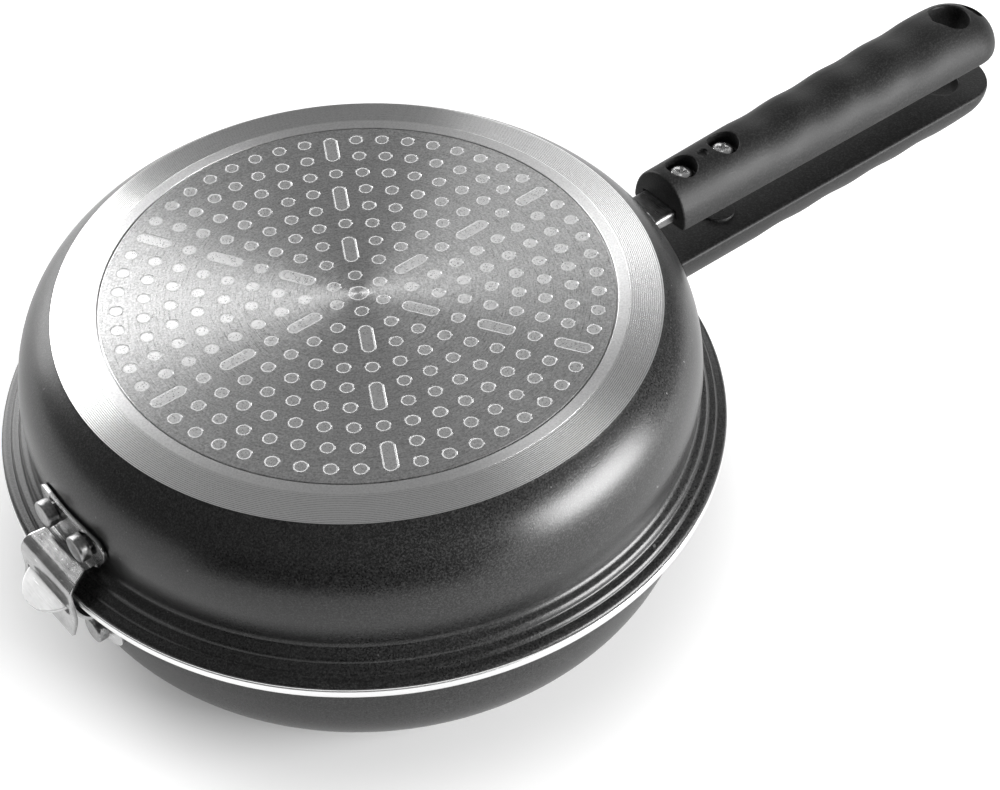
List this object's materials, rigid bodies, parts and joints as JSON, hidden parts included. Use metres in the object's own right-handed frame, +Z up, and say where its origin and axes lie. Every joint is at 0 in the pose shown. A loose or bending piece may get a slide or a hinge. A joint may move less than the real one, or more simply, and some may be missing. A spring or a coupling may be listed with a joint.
{
  "type": "double frying pan",
  "caption": "Hinged double frying pan: twin coated pans close rim to rim, a slotted hook on a tongue as hinge, perforated induction bases, long D-section handles.",
  "frame": {"origin": "centre of the lower pan's base, on the surface it stands on", "axes": "+Z up through both pans, +X from the hinge towards the handles"},
  "size_m": [0.4358, 0.24, 0.0992],
  "materials": {
    "coated_pan": "dark speckled non-stick coating, bare turned aluminium base and rim edge",
    "induction_disc": "perforated steel, brushed in circles",
    "hinge_sheet": "pressed stainless sheet, satin with press marks",
    "bracket_steel": "plated pressed steel",
    "rivet": "satin",
    "screw": "bright",
    "bakelite": "matt black, fine grain"
  },
  "bodies": {
    "lower": {"lower_pan": "coated_pan", "lower_induction_disc": "induction_disc", "lower_hinge_bracket": "hinge_sheet", "lower_hinge_rivet_a": "rivet", "lower_hinge_rivet_b": "rivet", "lower_handle_bracket": "bracket_steel", "lower_bracket_rivet_a": "rivet", "lower_bracket_rivet_b": "rivet", "lower_handle": "bakelite", "lower_handle_screw_front": "screw", "lower_handle_screw_rear": "screw"},
    "upper": {"upper_pan": "coated_pan", "upper_induction_disc": "induction_disc", "upper_hinge_bracket": "hinge_sheet", "upper_hinge_rivet_a": "rivet", "upper_hinge_rivet_b": "rivet", "upper_handle_bracket": "bracket_steel", "upper_bracket_rivet_a": "rivet", "upper_bracket_rivet_b": "rivet", "upper_handle": "bakelite", "upper_handle_screw_front": "screw", "upper_handle_screw_rear": "screw"}
  },
  "joints": [
    {"name": "pan_hinge", "type": "hinge", "parent": "lower", "child": "upper", "pos_m": [-0.1255, 0, 0.0431], "axis": [0, -1, 0], "range_deg": [0, 120]}
  ]
}
